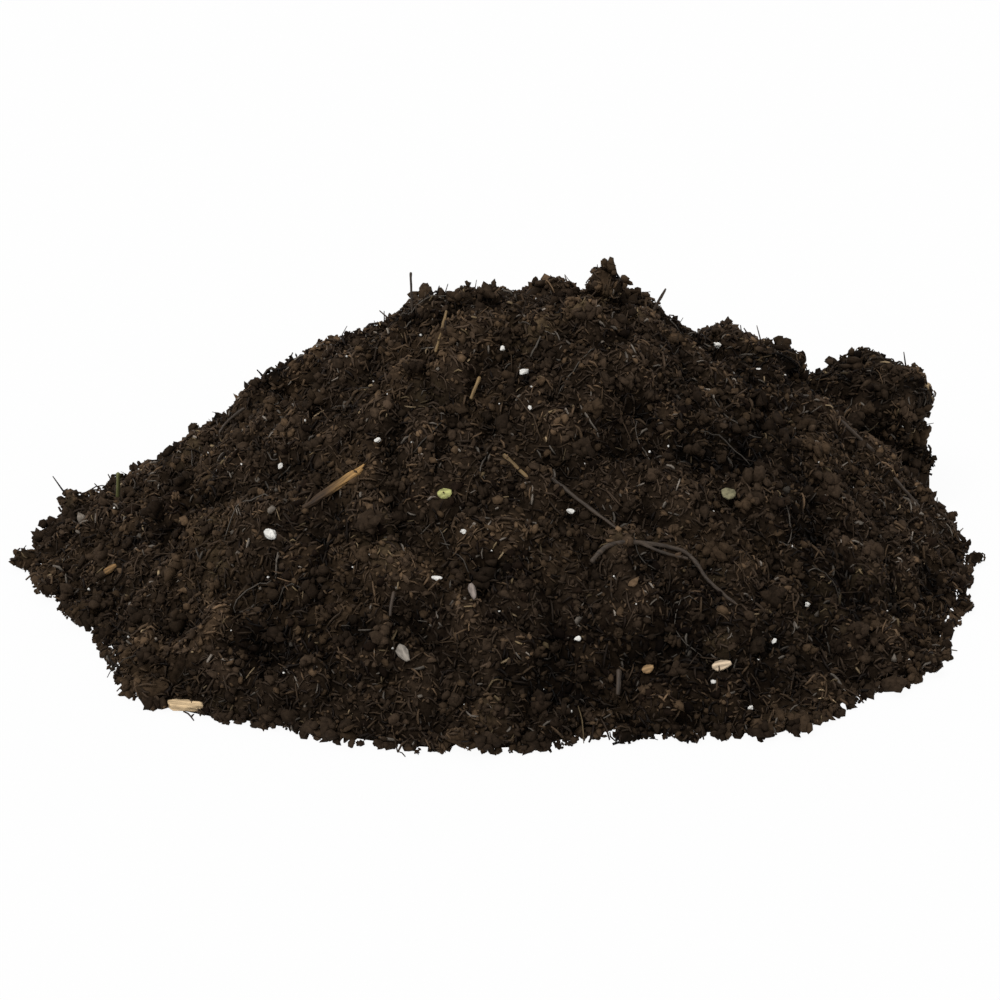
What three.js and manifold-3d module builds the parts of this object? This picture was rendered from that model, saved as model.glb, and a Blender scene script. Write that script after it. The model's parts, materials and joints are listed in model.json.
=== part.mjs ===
// A loose heap of compost on a flat floor. One crumbly mass holds its shape at the angle of repose, and the
// clods, chips, stems, roots and perlite grains that show on it are each bedded in a socket of that mass.
// Millimetres, +Z up. The front of the heap faces -Y. Bearings are in degrees, counted from +X towards +Y.
import * as THREE from "three";
import { ImprovedNoise } from "three/addons/math/ImprovedNoise.js";
import { mergeVertices } from "three/addons/utils/BufferGeometryUtils.js";
import Module from "manifold-3d";

const wasm = await Module();
wasm.setup();

// Driving dimensions of the heap
const HEAP_WIDTH = 316; // left foot to right foot
const FRONT_DEPTH = 131; // from the line between the tips to the front foot
const BACK_DEPTH = 118; // from the same line to the back foot
const REPOSE_DEG = 37; // the slope at which loose crumbs stop sliding
const EDGE_HEIGHT = 3.5; // thickness of the mass at its foot
const EDGE_SLOPE_DEG = 46; // the foot is steeper than the flank, because clods hold it
const BLEND = 5; // how softly one summit runs into the next
const LUMP_HEIGHT = 2.4; // rise and fall of the surface
const LUMP_LENGTH = 17; // from one lump to the next

// Fit and form of the bedded pieces
const BED_GAP = 0.3; // how far a socket stands off the piece in it
const MITRE_LIMIT = 0.2; // keeps the corner of a socket near a sharp corner of its piece
const CHIP_BEVEL = 0.3; // worn edge of a chip
const CHIP_SUNK = 0.45; // share of a chip's thickness that lies in the mass
const GRAIN_SUNK = 0.45; // share of a grain's height that lies in the mass
const STEM_LIFT = 0.25; // how far the centre line of a lying stem stands over the surface
const STEM_ROOTED = 3; // how deep a standing stem is stuck in the mass
const LUMP_UNEVEN = 0.5; // how far a clod or a grain departs from an oval
const LUMP_BUMPS = 3; // bumps across one clod or grain
const CHIP_UNEVEN = 0.2; // how far the outline of a chip departs from an oval
const CHIP_BUMPS = 2; // bumps across one chip
const NOISE_SLICE = 0.5; // level at which the noise is read where it is needed in plan only

// How finely the shapes are faceted
const SECTORS = 64; // of the heap, around its axis
const RINGS = 18; // of the heap, from its middle to its foot
const CHIP_CORNERS = 10;
const STEM_SIDES = 6;
const STEM_STEP = 3; // length of one straight facet of a stem or a root
const GRAIN_FACETS = 1;

// Finish and colours
const PIECE_ROUGHNESS = 0.9;
const MASS_ROUGHNESS = 1;
const MASS = 0x2b2119;
const DARK_CLOD = 0x2c2219;
const BROWN_CLOD = 0x483222;
const WOOD = 0xcdb48c;
const BARK = 0x8e6a42;
const LEAF = 0x9a8e62;
const STRAW = 0x806642;
const ROOT = 0x382b20;
const GREEN = 0x5b5a38;
const PERLITE = 0xe9e5dd;

// Summits of the heap: place from the middle of the line between the tips, height and top radius
const SUMMITS = [
  { x: -8, y: 2, height: 96, round: 18 },
  { x: 24, y: 3, height: 97, round: 14 },
  { x: -51, y: 4, height: 58, round: 8 },
  { x: -112, y: -2, height: 17, round: 22 },
  { x: 80, y: 26, height: 69, round: 18 },
  { x: 112, y: 50, height: 54, round: 16 },
];

// Where the foot runs out past a plain oval, or falls short of it: bearing, spread and reach
const LOBES = [
  { bearing: 202, spread: 9, reach: -12 },
  { bearing: 225, spread: 8, reach: 7 },
  { bearing: 262, spread: 9, reach: 2 },
  { bearing: 284, spread: 4, reach: -9 },
  { bearing: 308, spread: 8, reach: 12 },
  { bearing: 328, spread: 8, reach: 11 },
  { bearing: 36, spread: 14, reach: 21 },
  { bearing: 70, spread: 13, reach: 5 },
  { bearing: 118, spread: 12, reach: -5 },
];

// Each piece below is at a bearing and at a share of the way from the heap's middle to its foot.

// Clods of compost that hold together: length, width and height, and how deep they lie in the mass
const CLODS = [
  { name: "crest_clod", at: [5, 0.215], size: [11, 10, 14], sunk: 4.5, facets: 2, tint: DARK_CLOD },
  { name: "right_clod", at: [20, 0.87], size: [44, 42, 45], sunk: 14, facets: 3, tint: DARK_CLOD },
  { name: "shoulder_clod", at: [14, 0.61], size: [24, 19, 14], sunk: 9, facets: 2, tint: DARK_CLOD },
  { name: "left_shoulder_clod", at: [175, 0.41], size: [26, 20, 14], sunk: 8, facets: 2, tint: DARK_CLOD },
  { name: "left_tip_clod", at: [183, 1.01], size: [11, 10, 9], sunk: 1, facets: 1, tint: DARK_CLOD },
  { name: "left_foot_clod", at: [192, 0.99], size: [10, 9, 8], sunk: 2, facets: 1, tint: DARK_CLOD },
  { name: "left_back_clod", at: [168, 0.97], size: [13, 11, 12], sunk: 4, facets: 1, tint: DARK_CLOD },
  { name: "left_brown_clod", at: [200, 1], size: [13, 10, 9], sunk: 2, facets: 1, tint: BROWN_CLOD },
  { name: "front_left_clod", at: [223, 0.97], size: [14, 10, 9], sunk: 3, facets: 1, tint: BROWN_CLOD },
  { name: "front_clod", at: [287, 1.01], size: [10, 9, 8], sunk: 2, facets: 1, tint: DARK_CLOD },
  { name: "front_right_clod", at: [294, 1.005], size: [10, 9, 8], sunk: 2, facets: 1, tint: DARK_CLOD },
  { name: "front_brown_clod", at: [265, 0.985], size: [13, 9, 8], sunk: 2.5, facets: 1, tint: BROWN_CLOD },
  { name: "right_foot_clod", at: [328, 0.985], size: [11, 10, 9], sunk: 2, facets: 1, tint: DARK_CLOD },
  { name: "right_tip_clod", at: [345, 1], size: [9, 8, 7], sunk: 1.5, facets: 1, tint: DARK_CLOD },
  { name: "right_flank_clod", at: [16, 0.935], size: [16, 14, 14], sunk: 5, facets: 1, tint: DARK_CLOD },
  { name: "right_edge_clod", at: [358, 1.01], size: [8, 8, 7], sunk: 1, facets: 1, tint: DARK_CLOD },
];

// Flat chips of wood, bark and leaf: heading of the long side, length, width and thickness, narrowing
const CHIPS = [
  { name: "pale_wood_chip", at: [228, 0.97], heading: -11, size: [11, 4.5, 2.2], taper: 0.2, tint: WOOD },
  { name: "bark_sliver", at: [228, 0.52], heading: 210, size: [25, 4, 1.5], taper: 0.5, tint: BARK },
  { name: "small_wood_chip", at: [302, 0.875], heading: 22, size: [6.5, 3.6, 1.5], taper: 0.3, tint: WOOD },
  { name: "leaf_flake", at: [322, 0.595], heading: 40, size: [6.5, 5, 0.9], taper: 0.2, tint: LEAF },
  { name: "yellow_flake", at: [256, 0.525], heading: 10, size: [4.6, 4, 1], taper: 0.1, tint: LEAF },
  { name: "pale_flake", at: [292, 0.885], heading: 30, size: [3.8, 3, 1], taper: 0.2, tint: WOOD },
  { name: "left_chip", at: [196, 0.89], heading: 0, size: [5.5, 3.5, 1.2], taper: 0.2, tint: BARK },
  { name: "grey_flake", at: [255, 0.84], heading: -70, size: [6, 4, 1], taper: 0.3, tint: LEAF },
  { name: "long_flake", at: [265, 0.715], heading: -80, size: [5.2, 2.8, 1], taper: 0.3, tint: LEAF },
];

// Straws that lie on the heap: heading, legs of a length and a turn, and the diameters at the two ends
const STRAWS = [
  { name: "crest_straw", at: [204, 0.133], heading: -101, legs: [[18, 0]], ends: [1.2, 1] },
  { name: "front_straw", at: [259, 0.25], heading: -113, legs: [[9, 0]], ends: [1.4, 1.2] },
  { name: "middle_straw", at: [271, 0.435], heading: -41, legs: [[12, 0]], ends: [1.6, 1.1] },
];

// Roots that lie on the heap, in the same terms
const ROOTS = [
  { name: "straight_root", at: [284, 0.53], heading: -31, legs: [[13, 0], [13, -3]], ends: [1.5, 1.1] },
  { name: "right_root", at: [4, 0.72], heading: -15, legs: [[10, 0], [9, 6]], ends: [1.5, 1.1] },
  { name: "left_curl", at: [172, 0.55], heading: -170, legs: [[4, 0], [5, 30], [5, 35]], ends: [1.3, 0.9] },
  { name: "right_twig", at: [359, 0.83], heading: -13, legs: [[7, 0], [6, -8]], ends: [1.4, 1] },
  { name: "left_rootlet", at: [251, 0.735], heading: -107, legs: [[4, 0], [4, 12]], ends: [1.4, 1.1] },
  { name: "front_rootlet", at: [288, 0.89], heading: -91, legs: [[4, 0], [3.5, -8]], ends: [2, 1.6] },
];

// One root forks: a branch leaves its main run at the end of the second leg
const FORKED_ROOT = {
  name: "forked_root",
  at: [288, 0.69],
  heading: 35,
  legs: [[7, 0], [10.5, -22], [15, -16], [9.5, -39], [16, 14]],
  ends: [1.9, 1.1],
  branch: { after: 2, heading: -16, legs: [[8.5, 0], [7, 17]], ends: [1.3, 0.9] },
};

// Stems and twigs that stand up out of the heap: height, lean from upright and the heading it leans to
const STANDING = [
  { name: "green_stub", at: [173, 0.835], height: 7, lean: 4, heading: 0, ends: [1.8, 1.6], tint: GREEN },
  { name: "skyline_stem", at: [178, 0.18], height: 13, lean: 2, heading: 180, ends: [1, 0.8], tint: ROOT },
  { name: "skyline_twig", at: [4, 0.31], height: 11, lean: 28, heading: 0, ends: [1.2, 0.9], tint: ROOT },
];

// White perlite grains: heading of the long side, length, width and height
const GRAINS = [
  { at: [222, 0.64], heading: -60, size: [5.5, 3.8, 3.6] },
  { at: [283, 0.27], heading: 20, size: [4.2, 2.6, 2.4] },
  { at: [282, 0.36], heading: 50, size: [2.5, 2.3, 2.2] },
  { at: [231, 0.42], heading: 0, size: [2.7, 2.4, 2.2] },
  { at: [209, 0.555], heading: 30, size: [2.5, 2.2, 2.2] },
  { at: [272, 0.185], heading: 70, size: [2.4, 2.2, 2] },
  { at: [262, 0.6], heading: 10, size: [2.3, 2, 2] },
  { at: [287, 0.585], heading: -30, size: [3, 2.3, 2.2] },
  { at: [258, 0.69], heading: 0, size: [3.9, 2, 2] },
  { at: [283, 0.85], heading: 40, size: [2.5, 2.2, 2.2] },
  { at: [13, 0.475], heading: 20, size: [3.3, 2.6, 2.6] },
  { at: [5, 0.545], heading: 0, size: [2.3, 2, 2] },
  { at: [320, 0.825], heading: 15, size: [2.3, 2.1, 2] },
  { at: [300, 0.91], heading: 0, size: [2.4, 2.2, 2] },
  { at: [311, 0.84], heading: 80, size: [2.8, 2, 2] },
  { at: [303, 0.945], heading: 30, size: [2.3, 2.1, 2] },
];

const UP = new THREE.Vector3(0, 0, 1);
const DOWN = new THREE.Vector3(0, 0, -1);
const SKY = 1000; // a height clear over the heap
const radians = THREE.MathUtils.degToRad;
const noise = new ImprovedNoise();

// A level direction with a given bearing.
function direction(bearing) {
  return new THREE.Vector3(Math.cos(radians(bearing)), Math.sin(radians(bearing)), 0);
}

// Distance from the heap's middle to its foot at a bearing.
function footRadius(bearing) {
  const { x, y } = direction(bearing);
  const oval = 1 / Math.hypot(x / (HEAP_WIDTH / 2), y / (y < 0 ? FRONT_DEPTH : BACK_DEPTH));
  return LOBES.reduce((radius, lobe) => {
    const turn = ((bearing - lobe.bearing + 540) % 360) - 180;
    return radius + lobe.reach * Math.exp(-((turn / lobe.spread) ** 2));
  }, oval);
}

function bearingOf(x, y) {
  return (THREE.MathUtils.radToDeg(Math.atan2(y, x)) + 360) % 360;
}

// Height of the surface over a point of the floor.
function heapHeight(x, y) {
  const slope = Math.tan(radians(REPOSE_DEG));
  const piled = SUMMITS.reduce((sum, summit) => {
    const run = Math.hypot(x - summit.x, y - summit.y, summit.round);
    return sum + Math.exp((summit.height - slope * (run - summit.round)) / BLEND);
  }, 0);
  const inside = Math.max(0, footRadius(bearingOf(x, y)) - Math.hypot(x, y));
  const foot = EDGE_HEIGHT + Math.tan(radians(EDGE_SLOPE_DEG)) * inside;
  const plain = -BLEND * Math.log(1 / piled + Math.exp(-foot / BLEND));
  const lump = noise.noise(x / LUMP_LENGTH, y / LUMP_LENGTH, NOISE_SLICE) * LUMP_HEIGHT;
  return Math.max(EDGE_HEIGHT / 2, plain + lump);
}

// A geometry with positions alone, and one vertex at each corner.
function welded(geometry) {
  geometry.deleteAttribute("normal");
  geometry.deleteAttribute("uv");
  return mergeVertices(geometry);
}

// The mass of the heap: a disc turned about the axis, then drawn out to the foot and up to the surface.
function heapGeometry() {
  const profile = [new THREE.Vector2(0, 0), new THREE.Vector2(1, 0)];
  for (let ring = RINGS; ring >= 0; ring -= 1) {
    profile.push(new THREE.Vector2(ring / RINGS, 1));
  }
  const geometry = welded(new THREE.LatheGeometry(profile, SECTORS).rotateX(Math.PI / 2));
  const position = geometry.attributes.position;
  for (let i = 0; i < position.count; i += 1) {
    const share = Math.hypot(position.getX(i), position.getY(i));
    const bearing = bearingOf(position.getX(i), position.getY(i));
    const { x, y } = direction(bearing).multiplyScalar(share * footRadius(bearing));
    position.setXYZ(i, x, y, position.getZ(i) > 0.5 ? heapHeight(x, y) : 0);
  }
  return geometry;
}

function solidOf(geometry) {
  const vertProperties = new Float32Array(geometry.attributes.position.array);
  const triVerts = new Uint32Array(geometry.index.array);
  return new wasm.Manifold(new wasm.Mesh({ numProp: 3, vertProperties, triVerts }));
}

function geometryOf(solid) {
  const { vertProperties, triVerts } = solid.getMesh();
  const geometry = new THREE.BufferGeometry();
  geometry.setAttribute("position", new THREE.BufferAttribute(vertProperties, 3));
  return geometry.setIndex(new THREE.BufferAttribute(triVerts, 1));
}

const heap = new THREE.Group();
const bareHeap = new THREE.Mesh(heapGeometry());
const ray = new THREE.Raycaster();
const sockets = [];

// The surface at a point in plan: the heap, or the floor where the point is past the foot.
function surfaceAt(x, y) {
  ray.set(new THREE.Vector3(x, y, SKY), DOWN);
  const [hit] = ray.intersectObject(bareHeap);
  if (hit) {
    return { point: hit.point, normal: hit.face.normal };
  }
  return { point: new THREE.Vector3(x, y, 0), normal: UP };
}

function surfaceUnder({ at: [bearing, share] }) {
  const { x, y } = direction(bearing).multiplyScalar(share * footRadius(bearing));
  return surfaceAt(x, y);
}

// A copy of a shape with each face further out by the clearance of its socket.
function grown(geometry) {
  const wide = geometry.clone();
  wide.computeVertexNormals();
  const { position, normal } = wide.attributes;
  const leastLean = new Float32Array(position.count).fill(1);
  const facet = new THREE.Triangle();
  const facing = new THREE.Vector3();
  const outward = new THREE.Vector3();
  for (let i = 0; i < wide.index.count; i += 3) {
    const corners = [0, 1, 2].map((k) => wide.index.getX(i + k));
    facet.setFromAttributeAndIndices(position, ...corners).getNormal(facing);
    corners.forEach((k) => {
      leastLean[k] = Math.min(leastLean[k], facing.dot(outward.fromBufferAttribute(normal, k)));
    });
  }
  const corner = new THREE.Vector3();
  for (let i = 0; i < position.count; i += 1) {
    const reach = BED_GAP / Math.max(leastLean[i], MITRE_LIMIT);
    corner.fromBufferAttribute(position, i).addScaledVector(outward.fromBufferAttribute(normal, i), reach);
    position.setXYZ(i, corner.x, corner.y, corner.z);
  }
  return wide;
}

// Cuts sockets out of a solid, and keeps the largest body that is left of it.
function clearOf(solid) {
  const cut = sockets.reduce((rest, socket) => rest.subtract(socket), solid);
  const [body] = cut.decompose().sort((a, b) => b.volume() - a.volume());
  return body;
}

// Adds a piece to the heap, made of one shape or of several that join, with a socket of its own.
// A piece that leans on an earlier one fits round it.
function bed(name, tint, shapes, position, quaternion = new THREE.Quaternion()) {
  const material = new THREE.MeshStandardMaterial({ color: tint, roughness: PIECE_ROUGHNESS });
  const mesh = new THREE.Mesh(shapes[0], material);
  mesh.name = name;
  mesh.position.copy(position);
  mesh.quaternion.copy(quaternion);
  mesh.updateMatrix();
  const placed = shapes.map((shape) => shape.clone().applyMatrix4(mesh.matrix));
  const whole = placed.map(solidOf).reduce((joined, solid) => joined.add(solid));
  mesh.geometry = geometryOf(clearOf(whole)).applyMatrix4(mesh.matrix.clone().invert());
  sockets.push(...placed.map((shape) => solidOf(grown(shape))));
  heap.add(mesh);
}

// How a piece lies on a slope: its long side along the heading, its flat side along the slope.
function lieOn(normal, heading) {
  const along = direction(heading);
  along.addScaledVector(normal, -along.dot(normal)).normalize();
  const across = new THREE.Vector3().crossVectors(normal, along);
  return new THREE.Quaternion().setFromRotationMatrix(new THREE.Matrix4().makeBasis(along, across, normal));
}

// An uneven oval lump, cut off flat at the level of the floor.
function lumpGeometry([length, width, height], facets, seed, floor = -Infinity) {
  const geometry = welded(new THREE.IcosahedronGeometry(0.5, facets));
  const position = geometry.attributes.position;
  const extent = new THREE.Vector3(length, width, height);
  const corner = new THREE.Vector3();
  for (let i = 0; i < position.count; i += 1) {
    corner.fromBufferAttribute(position, i);
    const { x, y, z } = corner.clone().multiplyScalar(LUMP_BUMPS);
    corner.multiplyScalar(1 + LUMP_UNEVEN * noise.noise(x + seed, y, z)).multiply(extent);
    position.setXYZ(i, corner.x, corner.y, Math.max(corner.z, floor));
  }
  return geometry;
}

// A flat chip with an uneven outline and blunt ends, narrower at its far end.
function chipGeometry([length, width, thickness], taper, seed) {
  const outline = [];
  for (let i = 0; i < CHIP_CORNERS; i += 1) {
    const { x, y } = direction(((i + 0.5) / CHIP_CORNERS) * 360);
    const bulge = 1 + CHIP_UNEVEN * noise.noise(CHIP_BUMPS * x + seed, CHIP_BUMPS * y, NOISE_SLICE);
    const narrow = 1 - (taper * (1 + x)) / 2;
    const along = x * (length / 2 - CHIP_BEVEL) * bulge;
    outline.push(new THREE.Vector2(along, y * (width / 2 - CHIP_BEVEL) * bulge * narrow));
  }
  const depth = thickness - 2 * CHIP_BEVEL;
  const bevel = { bevelSegments: 1, bevelSize: CHIP_BEVEL, bevelThickness: CHIP_BEVEL };
  const geometry = new THREE.ExtrudeGeometry(new THREE.Shape(outline), { depth, ...bevel });
  return welded(geometry.translate(0, 0, -depth / 2));
}

// A thin stem along a curve, tapering from one diameter to the other.
function stemGeometry(points, [start, end]) {
  const curve = points.length > 2 ? new THREE.CatmullRomCurve3(points) : new THREE.LineCurve3(...points);
  const length = curve.getLength();
  const steps = Math.max(2, Math.round(length / STEM_STEP));
  const geometry = welded(new THREE.CylinderGeometry(end / 2, start / 2, length, STEM_SIDES, steps));
  const frames = curve.computeFrenetFrames(steps);
  const position = geometry.attributes.position;
  for (let i = 0; i < position.count; i += 1) {
    const ring = Math.round((position.getY(i) / length + 0.5) * steps);
    const corner = curve.getPointAt(ring / steps);
    corner.addScaledVector(frames.normals[ring], position.getX(i));
    corner.addScaledVector(frames.binormals[ring], -position.getZ(i));
    position.setXYZ(i, corner.x, corner.y, corner.z);
  }
  return geometry;
}

// Walks over the heap leg by leg, each leg with its own length on the slope, and gives the centre line.
function walk({ point, normal }, heading, legs) {
  const line = [point.clone().addScaledVector(UP, STEM_LIFT)];
  let bearing = heading;
  let foot = { point, normal };
  for (const [length, turn] of legs) {
    bearing += turn;
    const ahead = direction(bearing);
    const climb = -foot.normal.dot(ahead) / foot.normal.z;
    const next = foot.point.clone().addScaledVector(ahead, length / Math.hypot(1, climb));
    foot = surfaceAt(next.x, next.y);
    line.push(foot.point.clone().addScaledVector(UP, STEM_LIFT));
  }
  return line;
}

// The same centre line, measured from a piece's own origin.
function seenFrom(origin, line) {
  return line.map((place) => place.clone().sub(origin));
}

function addClod({ name, size, sunk, facets, tint, at }, seed) {
  const centre = surfaceUnder({ at }).point.clone();
  centre.z += size[2] / 2 - sunk;
  bed(name, tint, [lumpGeometry(size, facets, seed, -centre.z)], centre);
}

function addChip({ name, heading, size, taper, tint, at }, seed) {
  const { point, normal } = surfaceUnder({ at });
  const centre = point.clone().addScaledVector(normal, size[2] * (0.5 - CHIP_SUNK));
  bed(name, tint, [chipGeometry(size, taper, seed)], centre, lieOn(normal, heading));
}

function addGrain({ heading, size, at }, index) {
  const { point, normal } = surfaceUnder({ at });
  const centre = point.clone().addScaledVector(normal, size[2] * (0.5 - GRAIN_SUNK));
  const name = `perlite_grain_${String(index + 1).padStart(2, "0")}`;
  bed(name, PERLITE, [lumpGeometry(size, GRAIN_FACETS, index)], centre, lieOn(normal, heading));
}

function addLying({ name, heading, legs, ends, at }, tint) {
  const surface = surfaceUnder({ at });
  const line = seenFrom(surface.point, walk(surface, heading, legs));
  bed(name, tint, [stemGeometry(line, ends)], surface.point);
}

function addStanding({ name, height, lean, heading, ends, tint, at }) {
  const axis = direction(heading).multiplyScalar(Math.sin(radians(lean)));
  axis.z = Math.cos(radians(lean));
  const line = [axis.clone().multiplyScalar(-STEM_ROOTED), axis.clone().multiplyScalar(height)];
  bed(name, tint, [stemGeometry(line, ends)], surfaceUnder({ at }).point);
}

function addForkedRoot({ name, heading, legs, ends, branch, at }) {
  const surface = surfaceUnder({ at });
  const main = walk(surface, heading, legs);
  const fork = main[branch.after];
  const side = walk(surfaceAt(fork.x, fork.y), branch.heading, branch.legs);
  const run = stemGeometry(seenFrom(surface.point, main), ends);
  const offshoot = stemGeometry(seenFrom(surface.point, side), branch.ends);
  bed(name, ROOT, [run, offshoot], surface.point);
}

CLODS.forEach(addClod);
CHIPS.forEach(addChip);
STRAWS.forEach((straw) => addLying(straw, STRAW));
ROOTS.forEach((root) => addLying(root, ROOT));
addForkedRoot(FORKED_ROOT);
STANDING.forEach(addStanding);
GRAINS.forEach(addGrain);

// The mass fills the rest of the heap, round every socket.
const massGeometry = geometryOf(clearOf(solidOf(bareHeap.geometry)));
const massMaterial = new THREE.MeshStandardMaterial({ color: MASS, roughness: MASS_ROUGHNESS });
const massMesh = new THREE.Mesh(massGeometry, massMaterial);
massMesh.name = "compost_mass";
heap.add(massMesh);

// The origin is on the floor, under the middle of the whole heap.
const middle = new THREE.Box3().setFromObject(heap).getCenter(new THREE.Vector3());
heap.position.set(-middle.x, -middle.y, 0);

export default heap;
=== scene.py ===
"""A heap of compost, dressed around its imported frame.

The skin of the heap is a fine ground with lumps in it. Granules, clusters of them, fibres, bristles and
rootlets are strewn over that ground and over the clods. Each chip, straw, root and grain is a finer mesh in
the place of its node. Lengths are in millimetres in this script, and a mesh is written in metres.
The front of the heap faces -Y.
"""

import json
import math
from collections import namedtuple

import bpy
import numpy as np
from mathutils import Matrix, Vector
from mathutils.bvhtree import BVHTree


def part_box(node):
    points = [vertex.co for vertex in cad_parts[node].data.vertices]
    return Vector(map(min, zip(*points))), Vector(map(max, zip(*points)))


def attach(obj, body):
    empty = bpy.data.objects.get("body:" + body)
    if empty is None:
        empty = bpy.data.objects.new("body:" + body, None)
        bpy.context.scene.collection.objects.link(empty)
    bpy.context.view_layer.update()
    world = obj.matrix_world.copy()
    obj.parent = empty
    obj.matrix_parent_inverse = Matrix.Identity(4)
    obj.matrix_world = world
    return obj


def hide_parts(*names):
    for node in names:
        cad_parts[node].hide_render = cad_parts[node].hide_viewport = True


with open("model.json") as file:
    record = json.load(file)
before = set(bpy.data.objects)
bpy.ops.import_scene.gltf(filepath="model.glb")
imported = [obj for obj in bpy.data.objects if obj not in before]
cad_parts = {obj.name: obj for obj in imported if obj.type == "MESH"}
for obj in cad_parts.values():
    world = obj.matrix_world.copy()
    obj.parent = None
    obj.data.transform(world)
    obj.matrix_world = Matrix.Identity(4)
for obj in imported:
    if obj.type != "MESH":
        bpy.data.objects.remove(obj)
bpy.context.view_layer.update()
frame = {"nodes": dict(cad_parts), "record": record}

MM = 0.001
rng = np.random.default_rng(7)

# The camera, and the photograph's frame
IMAGE_SIDE = 1000
LENS = 100.0
SENSOR = 36.0
CAMERA_ELEVATION = math.radians(25)
CAMERA_TARGET = np.array([0.1, -10.4, 30.0])
CAMERA_DISTANCE = 911.0
CLIP_END = 20000.0

# The ground of the heap
HEAP_AXIS = np.array([0.1, 7.6])
GROUND_PITCH = 0.8
NET_MARGIN = 8.0
SKY = 300.0
GROUND_INSET = 2.0
FOOT_LEVEL = 1.5
HEM_INSET = 3.5
HEM_LEAN = 0.8
LEAST_GROUND = 0.6
OUTER_GROUND = 0.4
RELIEF_FADE = 9.0
GROUND_SECTORS = 380
GROUND_RINGS = 84
RELIEF = ((34.0, 2.2), (17.0, 2.0), (8.0, 1.3), (4.0, 0.8))
LUMP_COUNT = 1500
LUMP_RADIUS = (2.4, 10.0)
LUMP_RISE = (0.5, 0.95)
LUMP_SWAY = 3.2
HOLLOW_DEPTH = 3.5
LOW_FLANK_DEPTH = 7.0
CREVICE_DEPTH = 2.6

# What is strewn over it, with sizes spread about a middle one and kept between two others
Sizes = namedtuple("Sizes", "middle spread least most")
FINE_GRANULES = Sizes(middle=1.5, spread=0.25, least=0.9, most=2.4)
GRANULES = Sizes(middle=2.4, spread=0.28, least=1.5, most=4.2)
CLUSTERS = Sizes(middle=4.6, spread=0.38, least=2.4, most=10)
FOOT_CLUSTERS = Sizes(middle=4.6, spread=0.4, least=2.2, most=9.5)
SHORT_FIBRES = Sizes(middle=2.2, spread=0.35, least=1.2, most=5)
LONG_FIBRES = Sizes(middle=5.5, spread=0.3, least=3.5, most=11)
BRISTLES = Sizes(middle=1.9, spread=0.4, least=0.9, most=5)
ROOTLET_LENGTHS = (10, 26)
GRIT_SIZES = (0.5, 1.2)
FIBRE_RADII = (0.26, 0.6)
BRISTLE_RADII = (0.18, 0.42)
ROOTLET_RADII = (0.16, 0.34)
FINE_GRANULE_COUNT = 8500
GRANULE_COUNT = 4600
CLUSTER_COUNT = 620
CLUSTER_PARTS = 8
FOOT_CLUSTER_COUNT = 330
SHORT_FIBRE_COUNT = 12000
LONG_FIBRE_COUNT = 1600
BRISTLE_COUNT = 2900
ROOTLET_COUNT = 70
GRIT_COUNT = 90
FLOOR_CLEARANCE = 0.02
BRISTLE_CLEARANCE = 0.3

# Places on the heap, each named by the pixel of the photograph that shows it, with a radius in millimetres
Spot = namedtuple("Spot", "u v radius")
# The hollows are sunk into the ground, and what lies in them is darkened as painted shade
HOLLOWS = (
    Spot(u=512, v=668, radius=7), Spot(u=420, v=612, radius=12), Spot(u=493, v=569, radius=7),
    Spot(u=397, v=427, radius=9), Spot(u=360, v=630, radius=8), Spot(u=250, v=647, radius=12),
    Spot(u=195, v=628, radius=8), Spot(u=705, v=448, radius=13), Spot(u=740, v=452, radius=10),
    Spot(u=813, v=527, radius=9), Spot(u=590, v=540, radius=7), Spot(u=645, v=560, radius=9),
)
LOW_FLANKS = (
    Spot(u=165, v=466, radius=26), Spot(u=195, v=446, radius=26), Spot(u=228, v=420, radius=24),
    Spot(u=247, v=402, radius=20), Spot(u=262, v=398, radius=18), Spot(u=300, v=362, radius=16),
    Spot(u=345, v=338, radius=16), Spot(u=385, v=318, radius=14), Spot(u=695, v=336, radius=14),
)
BROWN_PATCHES = (
    Spot(u=352, v=477, radius=14), Spot(u=424, v=350, radius=12), Spot(u=85, v=610, radius=9),
    Spot(u=479, v=405, radius=10), Spot(u=205, v=530, radius=14), Spot(u=194, v=469, radius=10),
    Spot(u=389, v=692, radius=8), Spot(u=719, v=647, radius=6), Spot(u=758, v=547, radius=8),
    Spot(u=610, v=713, radius=9), Spot(u=938, v=557, radius=8),
)
CLUMPS = (
    Spot(u=922, v=412, radius=4), Spot(u=916, v=436, radius=5), Spot(u=910, v=460, radius=5.5),
    Spot(u=908, v=482, radius=5), Spot(u=856, v=368, radius=6), Spot(u=326, v=737, radius=5),
    Spot(u=350, v=740, radius=4), Spot(u=130, v=690, radius=4), Spot(u=890, v=688, radius=4.5),
    Spot(u=912, v=680, radius=4), Spot(u=720, v=734, radius=3), Spot(u=760, v=734, radius=4),
    Spot(u=795, v=730, radius=3), Spot(u=488, v=294, radius=4), Spot(u=455, v=296, radius=3),
    Spot(u=745, v=346, radius=5), Spot(u=630, v=312, radius=4),
)

CLODS = [name for name in frame["nodes"] if name.endswith("_clod")]
TRIMS = [name for name in frame["nodes"] if name not in CLODS and name != "compost_mass"]


def srgb(red, green, blue):
    """A colour as read from a screen, in linear light."""
    values = np.array([red, green, blue]) / 255
    return np.where(values > 0.04045, ((values + 0.055) / 1.055) ** 2.4, values / 12.92)


# Colours of the loose matter
BLACK = srgb(22, 15, 10)
PEAT = srgb(49, 39, 30)
BROWN = srgb(68, 54, 40)
OCHRE = srgb(88, 75, 55)
GREY = srgb(93, 86, 78)
TAN = srgb(134, 116, 90)

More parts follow.
